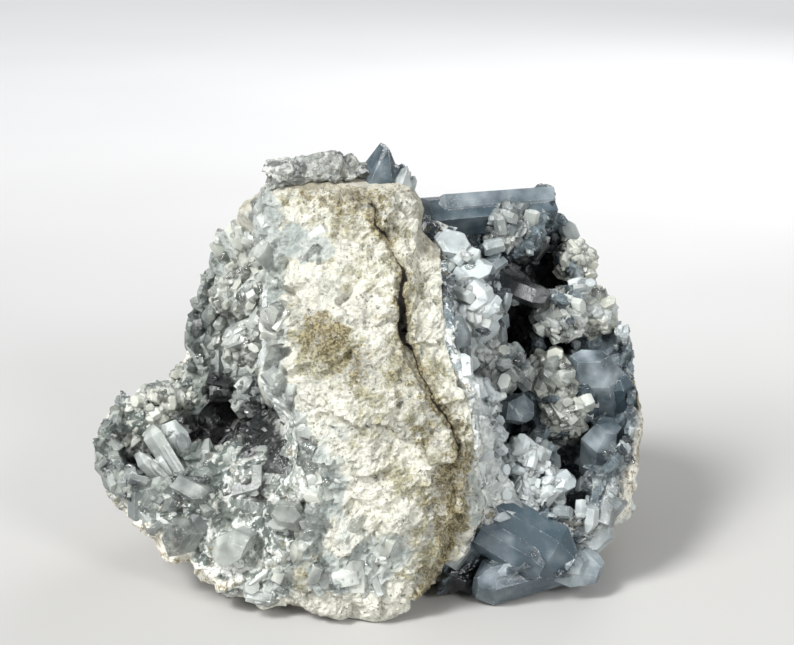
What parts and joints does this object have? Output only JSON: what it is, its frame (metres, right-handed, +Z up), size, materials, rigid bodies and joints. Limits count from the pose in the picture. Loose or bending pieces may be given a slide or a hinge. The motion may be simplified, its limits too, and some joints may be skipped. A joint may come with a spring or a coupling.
{
  "type": "celestite geode",
  "caption": "Broken-open celestite geode: a tall chalky rock ridge between two hollows lined with blue-grey crystals, resting on a small flat spot.",
  "frame": {"origin": "on the plane that the specimen rests on, inside its flat spot, under the ridge", "axes": "+Z up, the broken front of the ridge faces -Y, the low hollow lies towards -X and the tall hollow towards +X"},
  "size_m": [0.1216, 0.0798, 0.0913],
  "materials": {
    "host_rock": "chalky, rough, earth-stained",
    "celestite": "translucent blue-grey crystal, glassy faces"
  },
  "bodies": {
    "root": {"host_rock": "host_rock", "left_hollow_crust": "celestite", "right_hollow_crust": "celestite", "crest_crystals": "celestite"}
  },
  "joints": []
}
